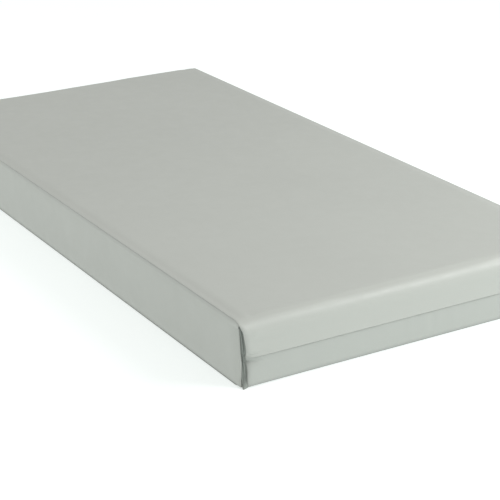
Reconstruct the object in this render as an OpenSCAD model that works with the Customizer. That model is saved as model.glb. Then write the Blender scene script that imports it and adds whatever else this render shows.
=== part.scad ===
// Pressure relief mattress: a foam core in a zipped, coated-fabric cover.
// +X runs towards the foot end, where the zip is. +Z is up. The origin is the middle of the underside.

/* [Mattress] */
// Length of the mattress, head to foot
mattress_l = 1900; // [1700:10:2100]
// Width of the mattress
mattress_w = 900; // [800:10:1200]
// Height of the mattress
mattress_h = 150; // [140:2:200]
// Radius with which the top cover rolls over the two short ends
end_roll_r = 30; // [24:1:36]
// Radius with which the base cover turns up at the two short ends
base_edge_r = 6; // [4:1:8]

/* [Cover] */
// Thickness of the top cover, the side panels and the flap
cover_t = 1; // [0.8:0.1:1.2]
// Thickness of the heavier base cover
base_t = 1.2; // [1:0.1:1.4]
// How far the base cover's foot rise stands back behind the flap
rise_setback = 1.5; // [1.4:0.1:2]
// Width and depth of the groove at each upright corner
corner_groove = 9; // [8:0.5:11]
// Distance of the rib's tip from the corner, as a share of the groove
corner_rib_tip = 0.45; // [0.35:0.05:0.6]
// Width of the rib inside the corner groove
corner_rib_w = 2.4; // [2:0.2:3]
// Height of the seam across the head end
head_seam_z = 68; // [60:1:76]
// Width of the tape behind the head seam
head_seam_w = 20; // [14:1:24]
// Thickness of the fire barrier sock
sock_t = 0.8; // [0.5:0.1:0.8]

/* [Zip] */
// Width of the upper tape between the top cover and its coil
upper_tape_w = 9; // [8:0.5:10]
// Width of the lower tape between the base cover and its coil
lower_tape_w = 8.2; // [7.6:0.2:9]
// Thickness of both tapes
tape_t = 0.8; // [0.6:0.1:1]
// Distance from the ends of the tapes to the corner seams
tape_end_gap = 11; // [10:0.5:12]
// Height and depth of each coil
coil_s = 2.2; // [2:0.1:2.4]
// Gap between the two coils, where the slider's neck runs
coil_gap = 1.2; // [1.2:0.1:1.6]
// Length of the slider's plates
slider_l = 11; // [9:0.5:12]
// Height of the slider's plates
slider_h = 9.6; // [9.6:0.2:10]
// Thickness of the slider's plates
plate_t = 0.9; // [0.8:0.1:1.2]
// Length of the puller from its pin to its tip
puller_l = 22; // [16:1:24]
// Width of the puller's tab
puller_w = 5.2; // [4.4:0.2:6]
// Thickness of the puller's tab
puller_t = 1.2; // [1:0.1:1.4]
// Radius of the pin that the puller turns on
pin_r = 0.5; // [0.4:0.05:0.5]

/* [Foam core] */
// Width of the firm border along the two sides and the two ends
wall_w = 60; // [50:5:80]
// Length of the softer head pad
head_pad_l = 327; // [250:1:380]
// Length of the softest heel pad
heel_pad_l = 457; // [350:1:500]
// Width of the cuts between the foam cells
cut_w = 3; // [2:0.5:3.5]
// Depth of the cuts in the head pad
head_cut_h = 30; // [20:1:45]
// Depth of the cuts in the body pad
body_cut_h = 45; // [30:1:55]
// Depth of the cuts in the heel pad
heel_cut_h = 60; // [40:1:62]

/* [Hidden] */
$fn = 64;

// Colours
cover_c = [0.72, 0.735, 0.71];
base_c = [0.70, 0.715, 0.69];
seam_c = [0.62, 0.65, 0.61];
tape_c = [0.52, 0.58, 0.56];
metal_c = [0.72, 0.73, 0.74];
sock_c = [0.93, 0.93, 0.90];
firm_c = [0.62, 0.70, 0.80];
soft_c = [0.93, 0.90, 0.80];
heel_c = [0.88, 0.76, 0.80];

// Half sizes, and the small gaps between layers and round moving parts
half_l = mattress_l / 2;
half_w = mattress_w / 2;
layer_gap = 0.2;
air = 0.3;
eps = 0.1;

// The zip, measured up from the underside
zip_above_middle = 7;
zip_z = mattress_h / 2 + zip_above_middle;
coil_reach = coil_gap / 2 + coil_s;
fall_z = zip_z + coil_reach + upper_tape_w;
rise_z = zip_z - coil_reach - lower_tape_w;
flap_r = cover_t / 2;
flap_room = 2;
hinge_z = fall_z - flap_room - flap_r;
flap_overlap = 5;
flap_z = rise_z - flap_overlap;

// The zip, measured in from the plane of the foot end
eye_r = 1.1;
pin_air = 0.06;
bore_r = pin_r + pin_air;
plate_air = 0.4;
channel_air = 0.8;
channel_margin = 1.5;
pin_d = cover_t + air + eye_r;
front_d = pin_d + eye_r + air;
coil_d = front_d + plate_t + plate_air;
tape_d = coil_d + (coil_s - tape_t) / 2;
back_d = coil_d + coil_s + plate_air;
channel_d = back_d + plate_t + channel_air;
channel_low = rise_z - base_t - channel_margin;
channel_high = fall_z + cover_t + channel_margin;

// The zip, measured across the mattress. The slider parks beside its stop, or further in where the puller
// needs the room to turn over.
seam_y = half_w - corner_groove;
tape_y = seam_y - tape_end_gap;
stop_inset = 1.5;
stop_l = 4;
stop_y = tape_y - stop_inset;
stop_air = 2;
puller_air = 2;
park_y = min(stop_y - stop_l - stop_air - slider_l / 2, seam_y - puller_l - puller_air);
garage_air = 6;
flap_end_y = park_y - puller_l - garage_air;

// The slider's small parts, measured from the middle of the pin
plate_r = 2;
ear_in = 1.6;
ear_out = 2.5;
eye_h = 1.45;
neck_h = 1.4;
shoulder = 4;
lip_w = 0.6;
lip_t = 0.5;
neck_w = coil_gap - 2 * air;
grip_r = 1.4;
grip_inset = 3.2;

// The foam core inside the cover and the sock
foam_top = mattress_h - cover_t - sock_t - 2 * layer_gap;
foam_low = base_t + sock_t + 2 * layer_gap;
foam_y = half_w - cover_t - sock_t - 2 * layer_gap;
foam_x = half_l - rise_setback - base_t - air;
foam_r = end_roll_r - (half_l - foam_x);
foam_base_r = 3;
notch_room = 3;
foam_notch = corner_groove + notch_room;
base_foam_below_zip = 20;
base_foam_z = zip_z - base_foam_below_zip;
pad_x = foam_x - wall_w;
pad_y = foam_y - wall_w;
body_x0 = -pad_x + head_pad_l;
body_x1 = pad_x - heel_pad_l;
sock_end_room = 2;
sock_x = half_l - end_roll_r - sock_end_room;

// Cells across each pad
head_rows = 5;
body_rows = 12;
body_columns = 9;
heel_rows = 8;
heel_columns = 13;

// Extrudes a shape drawn in X and Z along Y
module along_y(y0, y1) {
    translate([0, y1, 0])
        rotate([90, 0, 0])
            linear_extrude(y1 - y0)
                children();
}

// Extrudes a shape drawn in Y and Z along X
module along_x(x0, x1) {
    translate([x0, 0, 0])
        rotate([90, 0, 90])
            linear_extrude(x1 - x0)
                children();
}

// A box given by its lowest and highest corners
module block(low, high) {
    translate(low)
        cube(high - low);
}

// A rectangle with one radius on its two upper corners and one on its two lower corners
module slab(x0, x1, z0, z1, top_r, low_r) {
    middle = max(top_r, low_r);
    translate([x0 + middle, z0])
        square([x1 - x0 - 2 * middle, z1 - z0]);
    translate([x0, z0 + low_r])
        square([x1 - x0, z1 - top_r - z0 - low_r]);
    translate([x0 + low_r, z0])
        square([x1 - x0 - 2 * low_r, 2 * low_r]);
    for (x = [x0 + top_r, x1 - top_r])
        translate([x, z1 - top_r])
            circle(top_r);
    for (x = [x0 + low_r, x1 - low_r])
        translate([x, z0 + low_r])
            circle(low_r);
}

// The mattress from the side, drawn in by an equal distance all round
module outline(inset) {
    slab(-half_l + inset, half_l - inset, inset, mattress_h - inset, end_roll_r - inset, base_edge_r - inset);
}

// The base cover from the side, with its foot end set back
module base_outline(inset) {
    slab(-half_l + inset, half_l - rise_setback - inset, inset, mattress_h, base_edge_r, base_edge_r - inset);
}

// The foam core from the side
module foam_outline() {
    slab(-foam_x, foam_x, foam_low, foam_top, foam_r, foam_base_r);
}

// Repeats a shape at the four upright corners
module each_corner() {
    for (end = [0, 1], side = [0, 1])
        mirror([end, 0, 0])
            mirror([0, side, 0])
                children();
}

// The upright posts that are cut out of the cover or the foam at its corners
module corner_posts(size, z0) {
    each_corner()
        block([half_l - size, half_w - size, z0], [half_l + eps, half_w + eps, mattress_h + eps]);
}

// The channel along the foot end of the foam, which leaves room for the zip
module zip_channel() {
    block([half_l - channel_d, -half_w, channel_low], [half_l, half_w, channel_high]);
}

// Upper cover: the top and both end falls in one sheet, with a return that carries the upper tape
module top_cover() {
    color(cover_c)
        difference() {
            along_y(-half_w + cover_t, half_w - cover_t) {
                difference() {
                    outline(0);
                    outline(cover_t);
                    translate([0, -eps])
                        square([half_l + eps, fall_z + eps]);
                    translate([-half_l - eps, -eps])
                        square([half_l + 2 * eps, head_seam_z + eps]);
                }
                translate([half_l - tape_d - tape_t, fall_z])
                    square([tape_d + tape_t - cover_t / 2, cover_t]);
            }
            corner_posts(corner_groove, 0);
        }
}

// Base cover: the underside and both end rises in one sheet, with a return that carries the lower tape
module base_cover() {
    color(base_c)
        difference() {
            along_y(-half_w + cover_t, half_w - cover_t) {
                difference() {
                    base_outline(0);
                    base_outline(base_t);
                    translate([0, rise_z])
                        square([half_l, mattress_h]);
                    translate([-half_l - eps, head_seam_z])
                        square([half_l + 2 * eps, mattress_h]);
                }
                translate([half_l - tape_d - tape_t, rise_z - base_t])
                    square([tape_d + tape_t - rise_setback - base_t / 2, base_t]);
            }
            corner_posts(corner_groove, base_t);
        }
}

// One long side panel, which ends at the corner grooves
module side_panel(y0) {
    color(cover_c)
        along_y(y0, y0 + cover_t)
            intersection() {
                outline(0);
                translate([-half_l + corner_groove, 0])
                    square([mattress_l - 2 * corner_groove, mattress_h]);
            }
}

module side_panel_left() {
    side_panel(half_w - cover_t);
}

module side_panel_right() {
    side_panel(-half_w);
}

// Flap: the loose lower edge of the foot fall, with a round edge where it folds
module zip_flap() {
    color(cover_c)
        along_y(-seam_y, flap_end_y) {
            translate([half_l - flap_r, hinge_z])
                circle(flap_r);
            translate([half_l - cover_t, flap_z])
                square([cover_t, hinge_z - flap_z]);
        }
}

// Section of one corner seam, with its corner at the origin: the folded strip and the rib in the groove
module seam_section() {
    strip = corner_groove + cover_t;
    rib_tip = corner_groove * corner_rib_tip;
    translate([-strip, -corner_groove])
        square([cover_t, corner_groove - cover_t]);
    translate([-strip, -corner_groove])
        square([strip - rise_setback, cover_t]);
    intersection() {
        union() {
            translate([-rib_tip, -rib_tip])
                circle(corner_rib_w / 2);
            translate([-rib_tip, -rib_tip])
                rotate(225)
                    translate([0, -corner_rib_w / 2])
                        square([corner_groove, corner_rib_w]);
        }
        translate([-strip, -corner_groove])
            square(strip);
    }
}

// One corner seam, on the foot and left corner before it is mirrored
module corner_seam(end, side) {
    color(seam_c)
        mirror([end, 0, 0])
            mirror([0, side, 0])
                intersection() {
                    translate([half_l, half_w, base_t])
                        linear_extrude(mattress_h)
                            seam_section();
                    along_y(0, half_w)
                        outline(cover_t + layer_gap);
                }
}

module corner_seam_foot_left() {
    corner_seam(0, 0);
}

module corner_seam_foot_right() {
    corner_seam(0, 1);
}

module corner_seam_head_left() {
    corner_seam(1, 0);
}

module corner_seam_head_right() {
    corner_seam(1, 1);
}

// Head seam: the tape behind the joint of top and base cover at the head end
module head_seam() {
    color(seam_c)
        block([-half_l + base_t, -seam_y, head_seam_z - head_seam_w / 2],
              [-half_l + base_t + sock_t, seam_y, head_seam_z + head_seam_w / 2]);
}

// A strip of the zip that runs across the foot end, from depth d0 to d1 and height z0 to z1
module zip_strip(d0, d1, z0, z1) {
    block([half_l - d1, -tape_y, z0], [half_l - d0, tape_y, z1]);
}

module zip_tape_upper() {
    color(tape_c)
        zip_strip(tape_d, tape_d + tape_t, zip_z + coil_reach, fall_z);
}

module zip_tape_lower() {
    color(tape_c)
        zip_strip(tape_d, tape_d + tape_t, rise_z, zip_z - coil_reach);
}

module zip_coil_upper() {
    color(tape_c)
        difference() {
            zip_strip(coil_d, coil_d + coil_s, zip_z + coil_gap / 2, zip_z + coil_reach);
            stop_blocks();
        }
}

module zip_coil_lower() {
    color(tape_c)
        difference() {
            zip_strip(coil_d, coil_d + coil_s, zip_z - coil_reach, zip_z - coil_gap / 2);
            stop_blocks();
        }
}

// The space that the two stops take at the ends of the coils
module stop_blocks() {
    for (side = [0, 1])
        mirror([0, side, 0])
            block([half_l - coil_d - coil_s - layer_gap, stop_y - stop_l, zip_z - coil_reach + eps],
                  [half_l - coil_d + layer_gap, stop_y, zip_z + coil_reach - eps]);
}

// Stops: a clamped block across both coils at each end of the zip
module zip_stops() {
    color(metal_c)
        stop_blocks();
}

// One plate of the slider, from depth d0 to d1
module slider_plate(d0, d1) {
    along_x(half_l - d1, half_l - d0)
        translate([park_y, zip_z])
            slab(-slider_l / 2, slider_l / 2, -slider_h / 2, slider_h / 2, plate_r, plate_r);
}

// The two turned-in edges of one slider plate
module slider_lips(d0, d1) {
    for (side = [-1, 1])
        translate([half_l - d1, park_y - slider_l / 4, zip_z + side * (slider_h - lip_w) / 2 - lip_w / 2])
            cube([d1 - d0, slider_l / 2, lip_w]);
}

// One of the two ears that hold the pin, seen along the pin
module slider_ear() {
    difference() {
        union() {
            circle(eye_r);
            translate([-eye_r - air - eps, -eye_r])
                square([eye_r + air + eps, 2 * eye_r]);
        }
        circle(pin_r);
    }
}

// Slider: two plates joined by a neck that runs between the coils, and two ears for the pin
module zip_slider() {
    color(metal_c) {
        slider_plate(front_d, front_d + plate_t);
        slider_plate(back_d, back_d + plate_t);
        slider_lips(front_d + plate_t - eps, front_d + plate_t + lip_t);
        slider_lips(back_d - lip_t, back_d + eps);
        block([half_l - back_d - eps, park_y + slider_l / 6, zip_z - neck_w / 2],
              [half_l - front_d - plate_t + eps, park_y + slider_l / 3, zip_z + neck_w / 2]);
        for (z = [zip_z - ear_out, zip_z + ear_in])
            translate([half_l - pin_d, park_y, z])
                linear_extrude(ear_out - ear_in)
                    slider_ear();
    }
}

module puller_pin() {
    color(metal_c)
        translate([half_l - pin_d, park_y, zip_z - ear_out])
            cylinder(r = pin_r, h = 2 * ear_out);
}

// Puller: a flat tab with a rounded tip and a grip hole, on an eye that turns on the pin
module zip_puller() {
    color(metal_c)
        difference() {
            union() {
                translate([half_l - pin_d, park_y, zip_z - eye_h])
                    cylinder(r = eye_r, h = 2 * eye_h);
                along_x(half_l - pin_d - puller_t / 2, half_l - pin_d + puller_t / 2)
                    translate([park_y, zip_z]) {
                        translate([-shoulder - eps, -neck_h])
                            square([shoulder + eps, 2 * neck_h]);
                        translate([puller_w / 2 - puller_l, -puller_w / 2])
                            square([puller_l - puller_w / 2 - shoulder, puller_w]);
                        translate([puller_w / 2 - puller_l, 0])
                            circle(puller_w / 2);
                    }
            }
            translate([half_l - pin_d, park_y, zip_z - ear_out])
                cylinder(r = bore_r, h = 2 * ear_out);
            along_x(half_l - pin_d - eye_r, half_l - pin_d + eye_r)
                translate([park_y - puller_l + grip_inset, zip_z])
                    circle(grip_r);
        }
}

// Sock: a thin sleeve round the foam, open at its two ends
module fire_barrier_sock() {
    out_y = foam_y + layer_gap + sock_t;
    in_y = foam_y + layer_gap;
    color(sock_c)
        along_x(-sock_x, sock_x)
            difference() {
                translate([-out_y, base_t + layer_gap])
                    square([2 * out_y, mattress_h - base_t - cover_t - 2 * layer_gap]);
                translate([-in_y, foam_low - layer_gap])
                    square([2 * in_y, foam_top - foam_low + 2 * layer_gap]);
            }
}

// A piece of the foam core between two corners of a box, with the core's rounded ends and cut corners
module foam_piece(low, high) {
    difference() {
        intersection() {
            along_y(low.y, high.y)
                foam_outline();
            block(low, high);
        }
        corner_posts(foam_notch, 0);
        zip_channel();
    }
}

module foam_base() {
    color(firm_c)
        foam_piece([-foam_x, -foam_y, foam_low], [foam_x, foam_y, base_foam_z]);
}

module side_wall_left() {
    color(firm_c)
        foam_piece([-foam_x, pad_y, base_foam_z], [foam_x, foam_y, foam_top]);
}

module side_wall_right() {
    color(firm_c)
        foam_piece([-foam_x, -foam_y, base_foam_z], [foam_x, -pad_y, foam_top]);
}

module head_wall() {
    color(firm_c)
        foam_piece([-foam_x, -pad_y, base_foam_z], [-pad_x, pad_y, foam_top]);
}

module foot_wall() {
    color(firm_c)
        foam_piece([pad_x, -pad_y, base_foam_z], [foam_x, pad_y, foam_top]);
}

// A soft pad with rows of cuts across it and columns of cuts along it, all made from above
module cut_pad(x0, x1, rows, columns, cut_h) {
    row_l = (x1 - x0) / rows;
    column_w = 2 * pad_y / columns;
    difference() {
        block([x0, -pad_y, base_foam_z], [x1, pad_y, foam_top]);
        if (rows > 1)
            for (i = [1:rows - 1])
                translate([x0 + i * row_l - cut_w / 2, -pad_y - eps, foam_top - cut_h])
                    cube([cut_w, 2 * (pad_y + eps), cut_h + eps]);
        if (columns > 1)
            for (i = [1:columns - 1])
                translate([x0 - eps, i * column_w - pad_y - cut_w / 2, foam_top - cut_h])
                    cube([x1 - x0 + 2 * eps, cut_w, cut_h + eps]);
    }
}

module head_pad() {
    color(soft_c)
        cut_pad(-pad_x, body_x0, head_rows, 1, head_cut_h);
}

module body_pad() {
    color(soft_c)
        cut_pad(body_x0, body_x1, body_rows, body_columns, body_cut_h);
}

module heel_pad() {
    color(heel_c)
        cut_pad(body_x1, pad_x, heel_rows, heel_columns, heel_cut_h);
}

top_cover();
base_cover();
side_panel_left();
side_panel_right();
zip_flap();
corner_seam_foot_left();
corner_seam_foot_right();
corner_seam_head_left();
corner_seam_head_right();
head_seam();
zip_tape_upper();
zip_tape_lower();
zip_coil_upper();
zip_coil_lower();
zip_stops();
zip_slider();
puller_pin();
zip_puller();
fire_barrier_sock();
foam_base();
side_wall_left();
side_wall_right();
head_wall();
foot_wall();
head_pad();
body_pad();
heel_pad();
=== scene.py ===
import math

import bpy
import numpy as np
from mathutils import Matrix, Vector


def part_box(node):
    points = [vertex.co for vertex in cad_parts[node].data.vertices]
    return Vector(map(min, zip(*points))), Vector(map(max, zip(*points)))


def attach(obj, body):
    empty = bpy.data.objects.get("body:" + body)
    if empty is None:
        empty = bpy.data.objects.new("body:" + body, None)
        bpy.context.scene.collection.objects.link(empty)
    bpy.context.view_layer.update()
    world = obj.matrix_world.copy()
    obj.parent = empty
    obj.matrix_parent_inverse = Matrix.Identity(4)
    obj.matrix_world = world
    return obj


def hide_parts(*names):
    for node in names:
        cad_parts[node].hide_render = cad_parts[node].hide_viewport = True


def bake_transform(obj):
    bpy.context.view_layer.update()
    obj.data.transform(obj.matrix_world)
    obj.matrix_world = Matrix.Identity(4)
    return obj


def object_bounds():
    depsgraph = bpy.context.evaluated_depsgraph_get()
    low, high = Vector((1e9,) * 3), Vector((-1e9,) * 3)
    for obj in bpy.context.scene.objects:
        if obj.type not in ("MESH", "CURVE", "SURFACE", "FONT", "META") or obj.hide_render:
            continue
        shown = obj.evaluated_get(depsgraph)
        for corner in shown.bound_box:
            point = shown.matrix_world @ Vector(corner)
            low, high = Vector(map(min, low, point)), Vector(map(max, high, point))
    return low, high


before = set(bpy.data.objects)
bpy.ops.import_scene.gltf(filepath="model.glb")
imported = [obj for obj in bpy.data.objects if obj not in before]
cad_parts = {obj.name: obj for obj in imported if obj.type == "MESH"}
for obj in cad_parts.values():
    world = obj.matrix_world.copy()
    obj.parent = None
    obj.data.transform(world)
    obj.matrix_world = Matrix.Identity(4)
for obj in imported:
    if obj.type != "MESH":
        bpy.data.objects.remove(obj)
cad_low, cad_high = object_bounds()

# ---------------------------------------------------------------------------
# Sizes and places, in metres, from the frame
# ---------------------------------------------------------------------------

FOOT_X = cad_high.x
HEAD_X = cad_low.x
HALF_W = cad_high.y
TOP_Z = cad_high.z
BASE_Z = cad_low.z

FLAP_LOW, FLAP_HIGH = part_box("zip_flap")
SLIDER_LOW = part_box("zip_slider")[0]
UPPER_TAPE_LOW, UPPER_TAPE_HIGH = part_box("zip_tape_upper")
LOWER_TAPE_LOW, LOWER_TAPE_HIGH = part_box("zip_tape_lower")
HEAD_SEAM_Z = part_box("top_cover")[0].z
RISE_TOP_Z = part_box("base_cover")[1].z
RISE_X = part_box("base_cover")[1].x
FALL_Z = UPPER_TAPE_HIGH.z

END_ROLL = 0.030        # radius of the top cover over both short ends
ROLL_Z = TOP_Z - END_ROLL  # where that radius starts
BASE_ROLL = 0.005       # radius of the base cover at both short ends
FABRIC_T = 0.001        # thickness of the cover fabric
BASE_T = 0.0012         # thickness of the base fabric
LINING_T = 0.0006       # thickness of the zip facing, the patches behind the zip and the head seam's tape
GROOVE_TOP_Z = 0.1435   # where the corner groove closes under the end roll
LONG_SEAM = 0.0022      # height of the lip that the top and the base form along the long sides
SEAM_GAP = 0.0004       # how far a cover stops short of the line where it meets another
TAPE_MARGIN = 0.003     # zip tape sewn behind the covers
RETURN_CUT = 0.007      # how much shorter a turned-in edge is at the corner grooves
REACH = 0.040           # width of the finely meshed band along a sewn edge
COLUMN = 0.016          # width of the mesh columns between those bands
FOAM_CORNER = 0.056     # radius to which the foam gives way behind the corner grooves
FOAM_EDGE = 0.003       # radius of the foam's cut edges

ROOT = "mattress"
MIDDLE = np.array([0.0, 0.0, (TOP_Z + BASE_Z) / 2])


# ---------------------------------------------------------------------------
# Small maths helpers
# ---------------------------------------------------------------------------

def smooth(t):
    """0 to 1 in an S curve."""
    t = np.clip(t, 0.0, 1.0)
    return t * t * (3 - 2 * t)


def bump(x, centre, width):
    """A smooth hump of height 1."""
    return np.exp(-(((x - centre) / width) ** 2))


def waves(x, y, wavelength, seed, count=10):
    """Gentle irregular unevenness, mostly between -1 and 1, the same on every run."""
    rng = np.random.default_rng(seed)
    total = np.zeros(np.broadcast(x, y).shape)
    for _ in range(count):
        angle = rng.uniform(0, math.tau)
        k = math.tau / (wavelength * rng.uniform(0.7, 1.6))
        total += np.sin(k * (math.cos(angle) * x + math.sin(angle) * y) + rng.uniform(0, math.tau))
    return total / math.sqrt(count)


def between(a, b, spacing):
    """Even steps from a to b, without the ends."""
    pieces = max(2, math.ceil(abs(b - a) / spacing))
    return a + (b - a) * np.arange(1, pieces) / pieces


def quarter_drop(r, over):
    """How far a quarter round of radius r has fallen away, over past its start."""
    return r - np.sqrt(r ** 2 - np.clip(over, 0, r) ** 2)


def filleted_path(corners, radii, steps, spacing):
    """Points and left-hand normals along a polyline whose inner corners are rounded.
    steps is the number of pieces in each rounded corner and spacing the longest straight piece."""
    corners = [np.array(c, float) for c in corners]
    points, normals = [], []

    def add(point, way):
        points.append(point)
        normals.append(np.array([-way[1], way[0]]))

    start = corners[0]
    for i in range(1, len(corners)):
        way = corners[i] - corners[i - 1]
        way = way / np.linalg.norm(way)
        end = corners[i]
        if i < len(corners) - 1:
            onward = corners[i + 1] - corners[i]
            onward = onward / np.linalg.norm(onward)
            turn = math.atan2(way[0] * onward[1] - way[1] * onward[0], float(way @ onward))
            set_back = radii[i - 1] * math.tan(abs(turn) / 2)
            end = corners[i] - way * set_back
        pieces = max(1, math.ceil(np.linalg.norm(end - start) / spacing[i - 1]))
        for k in range(pieces):
            add(start + (end - start) * k / pieces, way)
        if i == len(corners) - 1:
            add(end, way)
            break
        centre = end + np.array([-way[1], way[0]]) * radii[i - 1] * math.copysign(1, turn)
        for k in range(steps[i - 1]):
            c, s = math.cos(turn * k / steps[i - 1]), math.sin(turn * k / steps[i - 1])
            rotate = np.array([[c, -s], [s, c]])
            add(centre + rotate @ (end - centre), rotate @ way)
        start = corners[i] + onward * set_back
    return np.array(points), np.array(normals)


def path_length(points):
    """Distance along a path at each of its points."""
    return np.concatenate([[0.0], np.cumsum(np.linalg.norm(np.diff(points, axis=0), axis=1))])


def edge_profile(width, depth, under, curl, allowance):
    """A panel's sewn edge, from the hidden end of its seam allowance to the flat: how far each point stands
    in from the edge line, and how far it lies below the surface. The edge rounds over width and depth,
    curls on by an angle with a half width of under, and runs on into the seam."""
    around = np.linspace(-curl, math.pi / 2, 11)
    inset = np.where(around < 0, under, width) * (1 - np.cos(around))
    below = depth * (1 - np.sin(around))
    way = np.array([under * math.sin(curl), depth * math.cos(curl)])
    way = way / np.linalg.norm(way) * allowance
    hidden = np.array([1.0, 0.5])
    growth = 1.15 ** np.arange(1, 13) - 1
    graded = width + (REACH - width) * growth / growth[-1]
    return np.array([np.concatenate([inset[0] + way[0] * hidden, inset, graded]),
                     np.concatenate([below[0] + way[1] * hidden, below, np.zeros(len(graded))])])


def blended(profile_a, profile_b, share):
    """For every row, the mix of two edge profiles: share is 0 for the first and 1 for the second."""
    return profile_a[:, None, :] * (1 - share[None, :, None]) + profile_b[:, None, :] * share[None, :, None]


def columns(edge, inset, spacing):
    """Places across a sheet for every row, from its half width there and its edge profile."""
    middle = between(-1.0, 1.0, spacing / (edge.max() - REACH))
    return np.concatenate([inset - edge[:, None], middle[None, :] * (edge[:, None] - REACH),
                           (edge[:, None] - inset)[:, ::-1]], axis=1)


def both_edges(below, count):
    """The depth of both sewn edges, for rows of count columns."""
    return np.concatenate([below, np.zeros((len(below), count - 2 * below.shape[1])), below[:, ::-1]], axis=1)


def edge_ways(x, normals, upright):
    """Which way the sewn edges sink, for every row of an end-to-end sheet: straight into the end where
    upright, turned-in parts included, and against the surface elsewhere."""
    return np.where(upright[:, None], np.stack([np.sign(x), np.zeros(len(x))], axis=1), normals)


# ---------------------------------------------------------------------------
# Mesh helpers
# ---------------------------------------------------------------------------

def new_object(name, verts, faces, material=None):
    mesh = bpy.data.meshes.new(name)
    mesh.from_pydata([tuple(v) for v in np.asarray(verts, float)], [], [tuple(f) for f in faces])
    mesh.validate()
    mesh.update()
    mesh.polygons.foreach_set("use_smooth", [True] * len(mesh.polygons))
    obj = bpy.data.objects.new(name, mesh)
    bpy.context.scene.collection.objects.link(obj)
    if material:
        mesh.materials.append(material)
    return obj


def grid_normals(p):
    """Unit normals of a grid of points, rows by columns, away from the middle of the mattress."""
    n = np.cross(np.gradient(p, axis=0), np.gradient(p, axis=1))
    n = n / np.maximum(np.linalg.norm(n, axis=2, keepdims=True), 1e-12)
    return n * math.copysign(1, (n * (p - MIDDLE)).sum())


def sheet_object(name, p, thickness, material, keep=None, closed=False):
    """A sheet of real thickness from a grid of points on its outer side. keep marks the quads that exist,
    and closed joins the last row to the first."""
    rows, cols = p.shape[:2]
    n = grid_normals(np.concatenate([p[-1:], p, p[:1]]) if closed else p)
    n = n[1:-1] if closed else n
    outer, inner = p.reshape(-1, 3), (p - n * thickness).reshape(-1, 3)
    count = rows * cols
    if keep is None:
        keep = np.ones((rows if closed else rows - 1, cols - 1), bool)
    faces, edges = [], {}
    i0, j0 = rows // 2, cols // 2
    natural = np.cross(p[i0 + 1, j0] - p[i0, j0], p[i0, j0 + 1] - p[i0, j0])
    turned = float(natural @ n[i0, j0]) < 0
    for i, j in zip(*np.nonzero(keep)):
        k = (i + 1) % rows
        quad = [i * cols + j, k * cols + j, k * cols + j + 1, i * cols + j + 1]
        if turned:
            quad.reverse()
        faces.append(quad)
        faces.append([v + count for v in reversed(quad)])
        for a, b in zip(quad, quad[1:] + quad[:1]):
            edges[(a, b)] = True
    for a, b in edges:
        if (b, a) not in edges:
            faces.append([b, a, a + count, b + count])
    used = np.zeros(2 * count, bool)
    for f in faces:
        used[f] = True
    index = np.cumsum(used) - 1
    verts = np.concatenate([outer, inner])[used]
    return new_object(name, verts, [[int(index[v]) for v in f] for f in faces], material)


def relax(p, pressure, slack, most):
    """Cloth simulation of a panel over its filling: p is a coarse grid whose border is sewn down.
    Returns how far each point swells along the panel's normal, never more than most."""
    rows, cols = p.shape[:2]
    n = grid_normals(p)
    faces = [[i * cols + j, i * cols + j + 1, (i + 1) * cols + j + 1, (i + 1) * cols + j]
             for i in range(rows - 1) for j in range(cols - 1)]
    if float(np.cross(p[0, 1] - p[0, 0], p[1, 0] - p[0, 0]) @ n[0, 0]) < 0:
        faces = [f[::-1] for f in faces]
    obj = new_object("relaxing", p.reshape(-1, 3), faces)
    sewn = np.ones((rows, cols), bool)
    sewn[1:-1, 1:-1] = False
    group = obj.vertex_groups.new(name="sewn")
    group.add([int(k) for k in np.nonzero(sewn.ravel())[0]], 1.0, "ADD")
    cloth = obj.modifiers.new("Cloth", "CLOTH")
    cloth.settings.quality = 6
    cloth.settings.mass = 0.2
    cloth.settings.tension_stiffness = 12
    cloth.settings.compression_stiffness = 12
    cloth.settings.shear_stiffness = 5
    cloth.settings.bending_stiffness = 1.5
    cloth.settings.vertex_group_mass = group.name
    cloth.settings.use_pressure = True
    cloth.settings.uniform_pressure_force = pressure
    cloth.settings.shrink_min = -slack
    cloth.settings.effector_weights.gravity = 0
    cloth.collision_settings.use_collision = False
    last_frame = 20
    cloth.point_cache.frame_start, cloth.point_cache.frame_end = 1, last_frame
    for f in range(1, last_frame + 1):
        bpy.context.scene.frame_set(f)
    result = obj.evaluated_get(bpy.context.evaluated_depsgraph_get())
    q = np.empty(len(result.data.vertices) * 3)
    result.data.vertices.foreach_get("co", q)
    moved = ((q.reshape(p.shape) - p) * n).sum(2)
    bpy.data.objects.remove(obj, do_unlink=True)
    bpy.context.scene.frame_set(1)
    return most * np.tanh(np.maximum(moved, 0) / most)


def sample(field, u, v):
    """Smooth lookup in a grid of values; u and v are row and column positions as floats."""
    u = np.clip(u, 0, field.shape[0] - 1.001)
    v = np.clip(v, 0, field.shape[1] - 1.001)
    i, j = u.astype(int), v.astype(int)
    a, b = smooth(u - i), smooth(v - j)
    return (field[i, j] * (1 - a) * (1 - b) + field[i + 1, j] * a * (1 - b)
            + field[i, j + 1] * (1 - a) * b + field[i + 1, j + 1] * a * b)


# ---------------------------------------------------------------------------
# Materials
# ---------------------------------------------------------------------------

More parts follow.
